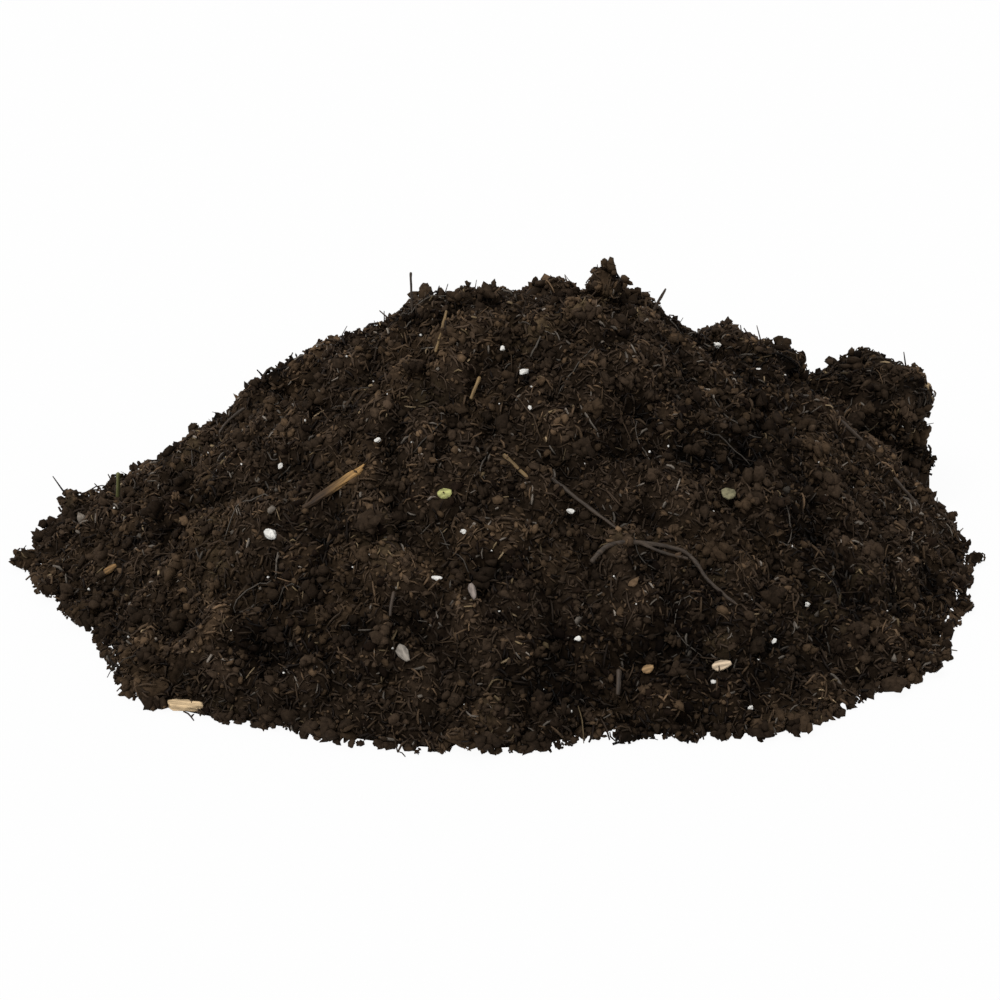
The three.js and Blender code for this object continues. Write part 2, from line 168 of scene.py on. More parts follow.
# Colours of the larger pieces
PERLITE_WHITE = srgb(240, 237, 230)
SLOT_COLOURS = {
    "wood_chip": srgb(214, 186, 146),
    "bark": srgb(128, 98, 62),
    "leaf": srgb(150, 142, 104),
    "straw": srgb(122, 100, 68),
    "green_stem": srgb(96, 96, 58),
    "root": srgb(60, 50, 41),
    "perlite": PERLITE_WHITE,
}
NODE_COLOURS = {
    "pale_flake": srgb(150, 120, 84),
    "small_wood_chip": srgb(206, 184, 156),
    "leaf_flake": srgb(128, 122, 94),
    "yellow_flake": srgb(176, 176, 112),
    "grey_flake": srgb(140, 132, 122),
    "long_flake": srgb(136, 124, 116),
}
SLIVER_ENDS = (srgb(62, 47, 33), srgb(170, 132, 82))


# Noise

GRADIENTS = np.random.default_rng(1).normal(size=(256, 3))
GRADIENTS /= np.linalg.norm(GRADIENTS, axis=1, keepdims=True)


def noise(points, wavelength, seed):
    """Smooth noise, about -1 to 1, one value for each point, that swings about once in a wavelength."""
    scaled = points / wavelength + 31.7 * seed
    corner = np.floor(scaled).astype(np.int64)
    inside = scaled - corner
    ease = inside**3 * (inside * (inside * 6 - 15) + 10)
    total = np.zeros(len(points))
    for step in np.ndindex(2, 2, 2):
        at = corner + step
        key = (at[:, 0] * 73856093) ^ (at[:, 1] * 19349663) ^ (at[:, 2] * 83492791)
        slope = GRADIENTS[(key ^ (key >> 11)) & 255]
        share = np.prod(np.where(step, ease, 1 - ease), axis=1)
        total += share * np.einsum("ij,ij->i", slope, inside - step)
    return 1.6 * total


def smoothstep(low, high, values):
    share = np.clip((values - low) / (high - low), 0, 1)
    return share * share * (3 - 2 * share)


# Mesh arithmetic

def unit(vectors):
    return vectors / np.maximum(np.linalg.norm(vectors, axis=-1, keepdims=True), 1e-9)


def node_arrays(name):
    """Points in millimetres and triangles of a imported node, with points that coincide joined."""
    mesh = frame["nodes"][name].data
    points = np.empty(len(mesh.vertices) * 3, dtype=np.float32)
    mesh.vertices.foreach_get("co", points)
    mesh.calc_loop_triangles()
    corners = np.empty(len(mesh.loop_triangles) * 3, dtype=np.int32)
    mesh.loop_triangles.foreach_get("vertices", corners)
    rounded = np.round(points.reshape(-1, 3).astype(float) / MM, 3)
    joined, index = np.unique(rounded, axis=0, return_inverse=True)
    triangles = index.reshape(-1)[corners].reshape(-1, 3)
    apart = (triangles != np.roll(triangles, 1, axis=1)).all(axis=1)
    return joined, triangles[apart]


def tree_of(points, triangles):
    return BVHTree.FromPolygons(points.tolist(), triangles.tolist())


def normals_of(points, triangles):
    """The normal at each point, as the mean of the faces around it, by their areas."""
    a, b, c = (points[triangles[:, k]] for k in range(3))
    faces = np.cross(b - a, c - a)
    total = np.zeros_like(points)
    for k in range(3):
        np.add.at(total, triangles[:, k], faces)
    return unit(total)


def edges_of(triangles):
    pairs = np.sort(triangles[:, [0, 1, 1, 2, 2, 0]].reshape(-1, 2), axis=1)
    return np.unique(pairs, axis=0, return_inverse=True)


def subdivided(points, triangles):
    """Each triangle cut into four at the middles of its edges."""
    edges, index = edges_of(triangles)
    middles = points[edges].mean(axis=1)
    ab, bc, ca = (index.reshape(-1, 3) + len(points)).T
    a, b, c = triangles.T
    parts = [(a, ab, ca), (ab, b, bc), (ca, bc, c), (ab, bc, ca)]
    return np.vstack([points, middles]), np.vstack([np.stack(part, axis=1) for part in parts])


def relaxed(points, triangles, rounds):
    """Points drawn half of the way to the mean of their neighbours, to round off facets."""
    edges, _ = edges_of(triangles)
    count = np.bincount(edges.ravel(), minlength=len(points))[:, None]
    for _ in range(rounds):
        total = np.zeros_like(points)
        np.add.at(total, edges[:, 0], points[edges[:, 1]])
        np.add.at(total, edges[:, 1], points[edges[:, 0]])
        points = (points + total / count) / 2
    return points


def fine_node(name, edge, rounds):
    """A node's mesh, cut until its edges are about that long, and rounded."""
    points, triangles = node_arrays(name)
    while True:
        a, b = (points[triangles[:, k]] for k in (0, 1))
        if np.median(np.linalg.norm(a - b, axis=1)) <= edge:
            return points, triangles
        points, triangles = subdivided(points, triangles)
        points = relaxed(points, triangles, rounds)


def make_piece(name, points, triangles, material, tint=None, uv=None, place=None):
    """A mesh object that rides on the heap. place is its own frame, a matrix in millimetres."""
    if place is not None:
        inverse = np.linalg.inv(place)
        points = points @ inverse[:3, :3].T + inverse[:3, 3]
    mesh = bpy.data.meshes.new(name)
    mesh.vertices.add(len(points))
    mesh.vertices.foreach_set("co", (points * MM).astype(np.float32).ravel())
    mesh.loops.add(triangles.size)
    mesh.loops.foreach_set("vertex_index", triangles.astype(np.int32).ravel())
    mesh.polygons.add(len(triangles))
    mesh.polygons.foreach_set("loop_start", np.arange(0, triangles.size, 3, dtype=np.int32))
    mesh.update(calc_edges=True)
    mesh.validate()
    mesh.shade_smooth()
    if tint is not None:
        colours = np.ones((len(points), 4), dtype=np.float32)
        colours[:, :3] = tint
        mesh.attributes.new("tint", "FLOAT_COLOR", "POINT").data.foreach_set("color", colours.ravel())
    if uv is not None:
        layer = mesh.uv_layers.new(name="OFBake")
        layer.data.foreach_set("uv", uv[triangles].astype(np.float32).ravel())
    mesh.materials.append(material)
    piece = bpy.data.objects.new(name, mesh)
    bpy.context.scene.collection.objects.link(piece)
    if place is not None:
        world = place.copy()
        world[:3, 3] *= MM
        piece.matrix_world = Matrix(world.tolist())
    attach(piece, "root")
    return piece


# The ground: the skin of the mass as heights over a square net

def blurred(grid, spread):
    """A grid smoothed by a bell of that spread, in cells."""
    reach = np.arange(-int(3 * spread), int(3 * spread) + 1)
    bell = np.exp(-(reach / spread) ** 2 / 2)
    bell /= bell.sum()
    for axis in (0, 1):
        grid = np.apply_along_axis(np.convolve, axis, grid, bell, mode="same")
    return grid


def filled(grid, known, spreads):
    """A grid smoothed where it is known, and carried on where it isn't."""
    result = np.zeros_like(grid)
    left = np.ones(grid.shape, dtype=bool)
    for spread in spreads:
        weight = blurred(known.astype(float), spread)
        mean = blurred(np.where(known, grid, 0), spread) / np.maximum(weight, 1e-9)
        fits = left & (weight > 0.15)
        result[fits] = mean[fits]
        left &= ~fits
    return result


low_corner, high_corner = (np.array(corner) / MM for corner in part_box("compost_mass"))
net_low = low_corner[:2] - NET_MARGIN
net_shape = np.ceil((high_corner[:2] + NET_MARGIN - net_low) / GROUND_PITCH).astype(int) + 1
net_cells = np.meshgrid(*(np.arange(count) for count in net_shape), indexing="ij")
net = np.stack(net_cells, axis=-1) * GROUND_PITCH + net_low

mass_tree = tree_of(*node_arrays("compost_mass"))
clod_trees = {name: tree_of(*node_arrays(name)) for name in CLODS}


def top_of(tree, places):
    """The height of what lies under each place in plan, or nan."""
    down = Vector((0, 0, -1))
    heights = np.full(len(places), np.nan)
    for index, (x, y) in enumerate(places):
        spot = tree.ray_cast(Vector((x, y, SKY)), down)[0]
        if spot is not None:
            heights[index] = spot.z
    return heights


def under_clods(places):
    """True for each place in plan that a clod covers."""
    covered = np.zeros(len(places), dtype=bool)
    for name, tree in clod_trees.items():
        low, high = (np.array(corner)[:2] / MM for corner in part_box(name))
        near = np.flatnonzero(((places > low) & (places < high)).all(axis=1))
        covered[near] |= ~np.isnan(top_of(tree, places[near]))
    return covered


VIEW_WAY = np.array([0, math.cos(CAMERA_ELEVATION), -math.sin(CAMERA_ELEVATION)])
VIEW_UP = np.array([0, math.sin(CAMERA_ELEVATION), math.cos(CAMERA_ELEVATION)])
VIEW_RIGHT = np.array([1.0, 0.0, 0.0])
EYE = CAMERA_TARGET - CAMERA_DISTANCE * VIEW_WAY


def under_pixel(u, v, trees=(mass_tree,)):
    """The nearest place on any of the trees, or else on the floor, that a pixel of the photograph shows."""
    focal = IMAGE_SIDE * LENS / SENSOR
    middle = IMAGE_SIDE / 2
    way = VIEW_WAY + (u - middle) / focal * VIEW_RIGHT - (v - middle) / focal * VIEW_UP
    way = unit(way)
    hits = [tree.ray_cast(Vector(EYE), Vector(way))[3] for tree in trees]
    floor = -EYE[2] / way[2]
    return EYE + way * min([floor, *(hit for hit in hits if hit)])


def nearness(points, spots):
    """How near each point is to the middle of any of the spots: 1 there, and 0 from its radius on."""
    best = np.zeros(len(points))
    for spot in spots:
        away = np.linalg.norm(points - under_pixel(spot.u, spot.v), axis=1) / spot.radius
        best = np.maximum(best, np.clip(1 - away**2, 0, 1))
    return best


mass_top = top_of(mass_tree, net.reshape(-1, 2)).reshape(net_shape)
clod_cover = under_clods(net.reshape(-1, 2)).reshape(net_shape)
in_foot = ~np.isnan(mass_top)
bare = filled(np.nan_to_num(mass_top), in_foot & ~clod_cover, (2.5, 8, 24))


def with_lumps(heights):
    """Heights with uneven lumps of many sizes pushed up out of them."""
    rise = np.zeros_like(heights)
    flat = np.dstack([net, np.zeros(net_shape)]).reshape(-1, 3)
    sway = [LUMP_SWAY * (noise(flat, 9, seed) + 0.5 * noise(flat, 4, seed + 1)) for seed in (50, 60)]
    warped = net + np.stack(sway, axis=-1).reshape(net.shape)
    spots = np.argwhere(in_foot)[rng.integers(0, in_foot.sum(), LUMP_COUNT)]
    sizes = LUMP_RADIUS[0] * (LUMP_RADIUS[1] / LUMP_RADIUS[0]) ** (rng.random(LUMP_COUNT) ** 2)
    shares = rng.uniform(*LUMP_RISE, LUMP_COUNT)
    for (i, j), size, share in zip(spots, sizes, shares):
        reach = int(size / GROUND_PITCH) + 1
        window = np.s_[max(i - reach, 0):i + reach + 1, max(j - reach, 0):j + reach + 1]
        away = np.linalg.norm(warped[window] - net[i, j], axis=-1) / size
        dome = size * share * np.sqrt(np.clip(1 - away**2, 0, 1))
        rise[window] = np.maximum(rise[window], dome)
    return heights + rise - rise[in_foot].mean()


net_points = np.dstack([net, bare]).reshape(-1, 3)
relief = sum(size * noise(net_points, wave, k) for k, (wave, size) in enumerate(RELIEF)).reshape(net_shape)
sinks = HOLLOW_DEPTH * nearness(net_points, HOLLOWS) + LOW_FLANK_DEPTH * nearness(net_points, LOW_FLANKS)
ground = with_lumps(bare + relief) - GROUND_INSET - sinks.reshape(net_shape)
ground = bare + (ground - bare) * smoothstep(0, RELIEF_FADE, bare)
near_foot = blurred(in_foot.astype(float), 2) > 0.3
ground = np.where(near_foot, np.maximum(ground, LEAST_GROUND), OUTER_GROUND)
slopes = np.stack(np.gradient(blurred(ground, 1.2), GROUND_PITCH), axis=-1)
# How far the ground lies below its surroundings, which sets the painted shade in crevices and the painted
# light on the lumps
crevices = np.clip((blurred(ground, 6) - blurred(ground, 0.8)) / CREVICE_DEPTH, -1, 1)


def read_net(grid, places):
    """A grid's values at places in plan, between its points."""
    at = np.clip((places - net_low) / GROUND_PITCH, 0, np.array(net_shape) - 1.001)
    cell = at.astype(int)
    share = at - cell
    i, j = cell.T
    s, t = share.T
    if grid.ndim > 2:
        s, t = s[:, None], t[:, None]
    near = grid[i, j] * (1 - s) + grid[i + 1, j] * s
    far = grid[i, j + 1] * (1 - s) + grid[i + 1, j + 1] * s
    return near * (1 - t) + far * t


def ground_normals(places):
    slope = read_net(slopes, places)
    return unit(np.column_stack([-slope, np.ones(len(places))]))


def on_ground(places):
    return np.column_stack([places, read_net(ground, places)])


# The foot line of the mass, as a radius for each bearing from the heap's axis

FOOT_BEARINGS = np.linspace(-math.pi, math.pi, 721)


def foot_of(bearing):
    way = Vector((math.cos(bearing), math.sin(bearing), 0))
    start = Vector((*HEAP_AXIS, FOOT_LEVEL)) + way * SKY
    return SKY - mass_tree.ray_cast(start, -way)[3]


foot_radii = np.array([foot_of(bearing) for bearing in FOOT_BEARINGS])


def foot_radius(bearings):
    return np.interp(bearings, FOOT_BEARINGS, foot_radii)


def bearings_of(places):
    return np.arctan2(*(places - HEAP_AXIS).T[::-1])


def inside_foot(places, margin):
    away = np.linalg.norm(places - HEAP_AXIS, axis=1)
    return away < foot_radius(bearings_of(places)) - margin


# Materials

def new_material(name, roughness, specular):
    material = bpy.data.materials.new(name)
    material.use_nodes = True
    shader = material.node_tree.nodes["Principled BSDF"]
    shader.inputs["Roughness"].default_value = roughness
    shader.inputs["Specular IOR Level"].default_value = specular
    return material, material.node_tree, shader


def add_noise(tree, scale, detail, stretch=None):
    """Noise in the object's own coordinates, stretched along each axis by a factor."""
    coordinates = tree.nodes.new("ShaderNodeTexCoord")
    texture = tree.nodes.new("ShaderNodeTexNoise")
    texture.inputs["Scale"].default_value = scale
    texture.inputs["Detail"].default_value = detail
    source = coordinates.outputs["Object"]
    if stretch:
        mapping = tree.nodes.new("ShaderNodeMapping")
        mapping.inputs["Scale"].default_value = [1 / factor for factor in stretch]
        tree.links.new(source, mapping.inputs["Vector"])
        source = mapping.outputs["Vector"]
    tree.links.new(source, texture.inputs["Vector"])
    return texture.outputs["Fac"]


def add_ramp(tree, value, stops):
    """A colour for each value: stops are pairs of a place and a linear colour."""
    ramp = tree.nodes.new("ShaderNodeValToRGB")
    elements = ramp.color_ramp.elements
    while len(elements) < len(stops):
        elements.new(1)
    for element, (place, colour) in zip(elements, stops):
        element.position = place
        element.color = (*colour, 1)
    tree.links.new(value, ramp.inputs["Fac"])
    return ramp.outputs["Color"]


def add_bump(tree, shader, value, depth, strength):
    bump = tree.nodes.new("ShaderNodeBump")
    bump.inputs["Distance"].default_value = depth * MM
    bump.inputs["Strength"].default_value = strength
    tree.links.new(value, bump.inputs["Height"])
    tree.links.new(bump.outputs["Normal"], shader.inputs["Normal"])


def tinted_material(name, roughness, specular, mottle_scale, mottle, bump_depth, stretch=None):
    """A material whose colour is the mesh's own tint, mottled by noise that can stretch into streaks."""
    material, tree, shader = new_material(name, roughness, specular)
    tint = tree.nodes.new("ShaderNodeAttribute")
    tint.attribute_name = "tint"
    value = add_noise(tree, mottle_scale, 4, stretch)
    shade = add_ramp(tree, value, [(0.3, [mottle[0]] * 3), (0.7, [mottle[1]] * 3)])
    product = tree.nodes.new("ShaderNodeMix")
    product.data_type = "RGBA"
    product.blend_type = "MULTIPLY"
    product.inputs["Factor"].default_value = 1
    tree.links.new(tint.outputs["Color"], product.inputs["A"])
    tree.links.new(shade, product.inputs["B"])
    tree.links.new(product.outputs["Result"], shader.inputs["Base Color"])
    add_bump(tree, shader, add_noise(tree, 3 * mottle_scale, 3, stretch), bump_depth, 0.7)
    return material


# Each has a roughness, a specular level, a mottle's scale and range, a bump depth and, for some, a stretch
ground_material = tinted_material("compost_ground", 0.95, 0.02, 700, (0.5, 1.3), 0.5)
crumb_material = tinted_material("compost_crumb", 0.85, 0.04, 900, (0.65, 1.3), 0.25)
fibre_material = tinted_material("compost_fibre", 0.6, 0.1, 600, (0.75, 1.25), 0.12)
clod_material = tinted_material("compost_clod", 0.9, 0.03, 700, (0.5, 1.3), 0.4)

wood_material = tinted_material("split_wood", 0.7, 0.25, 1400, (0.45, 1.3), 0.2, (9, 1, 1))
bark_material = tinted_material("bark", 0.75, 0.25, 1300, (0.35, 1.4), 0.25, (8, 1, 1))
leaf_material = tinted_material("dry_leaf", 0.7, 0.25, 1200, (0.45, 1.35), 0.15, (3, 1, 1))
stem_material = tinted_material("stem", 0.6, 0.25, 1400, (0.4, 1.4), 0.12, (10, 1, 1))
perlite_material = tinted_material("perlite", 0.8, 0.2, 1100, (0.7, 1.05), 0.35)


# Colour of the loose matter, by where it lies

def patches(points):
    """Shares of brown, dark and ochre matter at each point. The dark share is partly random dark matter and
    partly painted shade in the hollows, which also hold less brown.
    """
    near_brown = nearness(points, BROWN_PATCHES)
    painted_hollow_shade = nearness(points, HOLLOWS)
    brown = noise(points, 34, 11) + 0.35 * noise(points, 9, 12) + near_brown - painted_hollow_shade
    dark = noise(points, 42, 13) + 0.3 * noise(points, 12, 14) + painted_hollow_shade - near_brown
    ochre = noise(points, 22, 15) + 0.3 * noise(points, 7, 16) + 0.5 * near_brown
    return smoothstep(0, 0.6, brown), smoothstep(0.05, 0.6, dark), smoothstep(0.35, 0.75, ochre)


def painted_relief_shade(points):
    """Painted shade and light by height: a factor that darkens the colour in crevices and lightens it on the
    lumps.
    """
    return np.exp(-0.75 * read_net(crevices, points[:, :2]))


def tints(points, contrast, bright):
    """A colour for each strewn piece: peat, more brown or black by its patch, and a share of bright ones,
    then painted shade in crevices and painted light on the lumps.
    """
    brown, dark, ochre = patches(points)
    pick = rng.random(len(points))
    colours = np.tile(PEAT, (len(points), 1))
    colours[pick < 0.2 + 0.4 * brown] = BROWN
    colours[pick < bright * (0.2 + 1.4 * ochre)] = OCHRE
    colours[pick > 1 - bright] = GREY
    colours[pick > 1 - 0.08 * bright * (1 + brown)] = TAN
    # The dark share, partly painted shade in the hollows, makes black pieces likelier and darkens the rest
    colours[(pick > 0.5 - 0.2 * dark) & (pick < 0.62 + 0.25 * dark)] = BLACK
    colours *= (1 - 0.45 * dark * (1 - brown))[:, None]
    # Painted shade in crevices and painted light on the lumps, times a random brightness for each piece
    return colours * (painted_relief_shade(points) * np.exp(rng.normal(0, contrast, len(points))))[:, None]


def ground_tints(points):
    brown, dark, ochre = patches(points)
    colours = np.tile(0.55 * PEAT, (len(points), 1))
    colours += (0.4 * brown)[:, None] * (BROWN - colours) + (0.25 * ochre)[:, None] * (OCHRE - colours)
    # Darker by the dark share, partly painted shade in the hollows, and by painted shade in crevices;
    # lighter on the lumps by painted light
    return colours * (painted_relief_shade(points) * (1 - 0.5 * dark))[:, None]


# The mass

def build_ground():
    """Rings of the ground out to the foot line, closed by a flat underside."""
    turns = np.linspace(-math.pi, math.pi, GROUND_SECTORS, endpoint=False)
    ways = np.column_stack([np.cos(turns), np.sin(turns)])
    reach = foot_radius(turns)
    shares = np.linspace(0, 1, GROUND_RINGS + 1)[1:]
    rings = [HEAP_AXIS + ways * (share * (reach - HEM_INSET))[:, None] for share in shares]
    places = np.vstack([HEAP_AXIS[None], *rings])
    points = on_ground(places)
    hem = HEAP_AXIS + ways * (reach - HEM_INSET - HEM_LEAN)[:, None]
    points = np.vstack([points, np.column_stack([hem, np.zeros(len(hem))]), [[*HEAP_AXIS, 0]]])
    around = np.arange(GROUND_SECTORS)
    following = np.roll(around, -1)
    last = len(points) - 1
    parts = [np.column_stack([np.zeros_like(around), 1 + around, 1 + following])]
    for ring in range(GROUND_RINGS):
        inner = 1 + ring * GROUND_SECTORS
        outer = inner + GROUND_SECTORS
        parts.append(np.column_stack([inner + around, outer + around, outer + following]))
        parts.append(np.column_stack([inner + around, outer + following, inner + following]))
    rim = 1 + GROUND_RINGS * GROUND_SECTORS
    parts.append(np.column_stack([rim + around, np.full_like(around, last), rim + following]))
    spread = (points[:, :2] - net_low) / (np.array(net_shape) * GROUND_PITCH)
    uv = spread * [1, 0.8]
    uv[rim:] = spread[rim:] * [0.2, 0.2] + [0, 0.8]
    piece = make_piece("compost_ground", points, np.vstack(parts), ground_material,
                       ground_tints(points), uv)
    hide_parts("compost_mass")


build_ground()


# The clods

CLOD_EDGE = 1.5
CLOD_ROUNDS = 2
CLOD_CLEARANCE = 0.05
CLOD_BRIGHTNESS = 1.1
FULL_RELIEF_SIZE = 20.0
CLOD_RELIEF = ((10.0, 2.2), (5.0, 1.5), (2.4, 0.7))
CLOD_SINK = 1.2
OTHER_CLOD_SINKS = {"right_flank_clod": 4.5, "crest_clod": 0.8}
BROWN_CLODS = ("left_brown_clod", "front_left_clod", "front_brown_clod")


def build_clod(name):
    """A clod with a crumbly skin, and its points and triangles for what is strewn over it."""
    points, triangles = fine_node(name, CLOD_EDGE, CLOD_ROUNDS)
    size = np.ptp(points, axis=0).min()
    normals = normals_of(points, triangles)
    share = min(1, size / FULL_RELIEF_SIZE)
    rise = sum(share * height * noise(points, wave, 20 + k) for k, (wave, height) in enumerate(CLOD_RELIEF))
    points = points + normals * (rise - OTHER_CLOD_SINKS.get(name, CLOD_SINK))[:, None]
    points[:, 2] = np.maximum(points[:, 2], CLOD_CLEARANCE)
    brown = name in BROWN_CLODS
    tint = ground_tints(points) * CLOD_BRIGHTNESS
    if brown:
        tint = 0.5 * tint + 0.5 * BROWN
    piece = make_piece(name + "_skin", points, triangles, clod_material, tint)
    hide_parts(name)
    return points, triangles


clod_skins = {name: build_clod(name) for name in CLODS}


# Places to strew things

MOST_STEEPNESS = 2.0
MEAN_STEEPNESS = 1.25
CLOD_CROWDING = 1.15


def within_clods(spots):
    """True for each spot that lies inside a clod."""
    within = np.zeros(len(spots), dtype=bool)
    for name, tree in clod_trees.items():
        low, high = (np.array(corner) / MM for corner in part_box(name))
        for index in np.flatnonzero(((spots > low) & (spots < high)).all(axis=1)):
            nearest, normal, _, _ = tree.find_nearest(Vector(spots[index]))
            within[index] |= (Vector(spots[index]) - nearest).dot(normal) < 0
    return within


def spread_on_ground(count):
    """Places spread evenly over the skin of the mass, clear of the clods."""
    room = in_foot.sum() * GROUND_PITCH**2
    pitch = math.sqrt(room / (count * MOST_STEEPNESS))
    low, high = low_corner[:2], high_corner[:2]
    columns, rows = np.ceil((high - low) / pitch).astype(int)
    places = np.stack(np.meshgrid(np.arange(columns), np.arange(rows)), axis=-1).reshape(-1, 2)
    places = low + (places + rng.random(places.shape)) * pitch
    places = places[inside_foot(places, 0.5)]
    steep = 1 / ground_normals(places)[:, 2]
    places = places[rng.random(len(places)) * MOST_STEEPNESS < steep]
    places = places[~within_clods(on_ground(places))]
    return on_ground(places), ground_normals(places)


def spread_on_mesh(points, triangles, density):
    """Points and normals spread over a mesh, as many to a square millimetre as density says."""
    a, b, c = (points[triangles[:, k]] for k in range(3))
    area = np.linalg.norm(np.cross(b - a, c - a), axis=1) / 2
    count = int(area.sum() * density)
    face = rng.choice(len(triangles), count, p=area / area.sum())
    s, t = rng.random((2, count, 1))
    s, t = np.where(s + t > 1, [1 - s, 1 - t], [s, t])
    spots = a[face] + s * (b - a)[face] + t * (c - a)[face]
    return spots, normals_of(points, triangles)[triangles[face, 0]]


def strewn(count):
    """Points and normals over the mass and every clod, and the clod that each is on, or -1 for the mass."""
    spots, normals = spread_on_ground(count)
    density = count / (MEAN_STEEPNESS * in_foot.sum() * GROUND_PITCH**2)
    groups = [(spots, normals, np.full(len(spots), -1))]
    for index, name in enumerate(CLODS):
        spots, normals = spread_on_mesh(*clod_skins[name], CLOD_CROWDING * density)
        proud = (spots[:, 2] > read_net(ground, spots[:, :2]) - 0.5) & (spots[:, 2] > 0.4)
        groups.append((spots[proud], normals[proud], np.full(proud.sum(), index)))
    return tuple(np.concatenate(parts) for parts in zip(*groups))


clod_skin_trees = [tree_of(*clod_skins[name]) for name in CLODS]
trim_trees = [tree_of(*node_arrays(name)) for name in TRIMS]


def clear_of_trims(spots, margins):
    """True for each spot that is further than its margin from every chip, straw, root and grain."""
    margins = np.broadcast_to(margins, len(spots))
    clear = np.ones(len(spots), dtype=bool)
    for name, tree in zip(TRIMS, trim_trees):
        low, high = (np.array(corner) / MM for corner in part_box(name))
        near = (spots > low - margins[:, None]) & (spots < high + margins[:, None])
        for index in np.flatnonzero(near.all(axis=1)):
            if tree.find_nearest(Vector(spots[index]), margins[index])[0] is not None:
                clear[index] = False
    return clear


def laid(paths, host, lift):
    """Paths brought down to the skin that they lie on, and lifted off it point by point."""
    paths = paths.copy()
    loose = host < 0
    flat = paths[loose].reshape(-1, 3)
    flat[:, 2] = read_net(ground, flat[:, :2])
    flat += ground_normals(flat[:, :2]) * lift[loose].reshape(-1, 1)
    paths[loose] = flat.reshape(paths[loose].shape)
    for index in np.flatnonzero(~loose):
        tree = clod_skin_trees[host[index]]
        for k, point in enumerate(paths[index]):
            spot, normal, _, _ = tree.find_nearest(Vector(point))
            paths[index, k] = np.array(spot) + np.array(normal) * lift[index, k]
    return paths


def cell_map(count, shape_uv):
    """Map places for count copies of one small map, each in its own cell of a square sheet."""
    side = math.ceil(math.sqrt(count))
    cells = np.column_stack([np.arange(count) % side, np.arange(count) // side])
    return ((cells[:, None] + 0.05 + 0.9 * shape_uv[None]) / side).reshape(-1, 2)


# Crumbs

def icosahedron():
    golden = (1 + math.sqrt(5)) / 2
    corners = [(-1, golden, 0), (1, golden, 0), (-1, -golden, 0), (1, -golden, 0)]
    points = np.array([np.roll(corner, shift) for shift in range(3) for corner in corners], dtype=float)
    side = 2.0
    triangles = []
    for a, b, c in np.ndindex(12, 12, 12):
        if a < b < c and all(abs(np.linalg.norm(points[i] - points[j]) - side) < 0.01
                             for i, j in ((a, b), (b, c), (a, c))):
            outward = np.dot(np.cross(points[b] - points[a], points[c] - points[a]), points[a]) > 0
            triangles.append((a, b, c) if outward else (a, c, b))
    return unit(points), np.array(triangles)


def random_turns(count):
    """Rotation matrices spread evenly over all turns."""
    w, x, y, z = unit(rng.normal(size=(count, 4))).T
    rows = [
        [1 - 2 * (y * y + z * z), 2 * (x * y - z * w), 2 * (x * z + y * w)],
        [2 * (x * y + z * w), 1 - 2 * (x * x + z * z), 2 * (y * z - x * w)],
        [2 * (x * z - y * w), 2 * (y * z + x * w), 1 - 2 * (x * x + y * y)],
    ]
    return np.moveaxis(np.array(rows), -1, 0)


def octahedron():
    points = np.vstack([np.eye(3), -np.eye(3)])
    triangles = []
    for signs in np.ndindex(2, 2, 2):
        a, b, c = (axis + 3 * sign for axis, sign in enumerate(signs))
        triangles.append((a, b, c) if sum(signs) % 2 == 0 else (a, c, b))
    return points, np.array(triangles)


FINE_GRAIN = octahedron()
GRAIN = icosahedron()


def lumps(centres, sizes, form, uneven):
    """Uneven lumps of the given longest sizes: points, triangles and map places."""
    ball, faces = form
    count = len(centres)
    shape = np.column_stack([np.ones(count), rng.uniform(0.5, 1, count), rng.uniform(0.3, 0.8, count)])
    radii = np.exp(rng.normal(0, uneven, (count, len(ball))))
    points = ball[None] * radii[..., None] * (shape * sizes[:, None] / 2)[:, None]
    points = np.einsum("nij,nkj->nki", random_turns(count), points) + centres[:, None]
    points[..., 2] = np.maximum(points[..., 2], FLOOR_CLEARANCE)
    triangles = faces[None] + (np.arange(count) * len(ball))[:, None, None]
    return points.reshape(-1, 3), triangles.reshape(-1, 3), cell_map(count, ball[:, :2] / 2 + 0.5)


def build_crumbs(name, centres, sizes, form, uneven, colours, material=crumb_material):
    """Crumbs about the given centres, each of one colour."""
    points, triangles, uv = lumps(centres, sizes, form, uneven)
    tint = np.repeat(colours, len(form[0]), axis=0)
    make_piece(name, points, triangles, material, tint, uv)


def spread_sizes(count, sizes):
    return np.clip(np.exp(rng.normal(math.log(sizes.middle), sizes.spread, count)), sizes.least, sizes.most)


def build_granules(name, count, sizes, form, lift):
    """Loose granules all over the skin, lifted off it by a share of their size."""
    spots, normals, _ = strewn(count)
    clear = clear_of_trims(spots, 0.5)
    spots, normals = spots[clear], normals[clear]
    sizes = spread_sizes(len(spots), sizes)
    centres = spots + normals * (sizes * rng.uniform(*lift, len(spots)))[:, None]
    colours = tints(spots, contrast=0.22, bright=0.01)
    build_crumbs(name, centres, sizes, form, uneven=0.26, colours=colours)


def build_clusters(name, centres, sizes):
    """Clumps of granules that stick together, each clump of nearly one colour."""
    ways = unit(rng.normal(size=(len(centres), CLUSTER_PARTS, 3)))
    ways[:, 0] = 0
    reach = rng.uniform(0.22, 0.42, (len(centres), CLUSTER_PARTS, 1)) * sizes[:, None, None]
    parts = (centres[:, None] + ways * reach).reshape(-1, 3)
    shares = rng.uniform(0.3, 0.6, (len(centres), CLUSTER_PARTS))
    shares[:, 0] = 0.75
    colours = np.repeat((PEAT + tints(centres, contrast=0.2, bright=0)) / 2, CLUSTER_PARTS, axis=0)
    colours = colours * np.exp(rng.normal(0, 0.15, len(parts)))[:, None]
    build_crumbs(name, parts, (shares * sizes[:, None]).ravel(), GRAIN, uneven=0.24, colours=colours)


def build_skin_clusters():
    spots, normals, _ = strewn(CLUSTER_COUNT)
    sizes = spread_sizes(len(spots), CLUSTERS)
    clear = clear_of_trims(spots, 1 + 0.5 * sizes)
    build_clusters("clusters", (spots + normals * (0.22 * sizes)[:, None])[clear], sizes[clear])


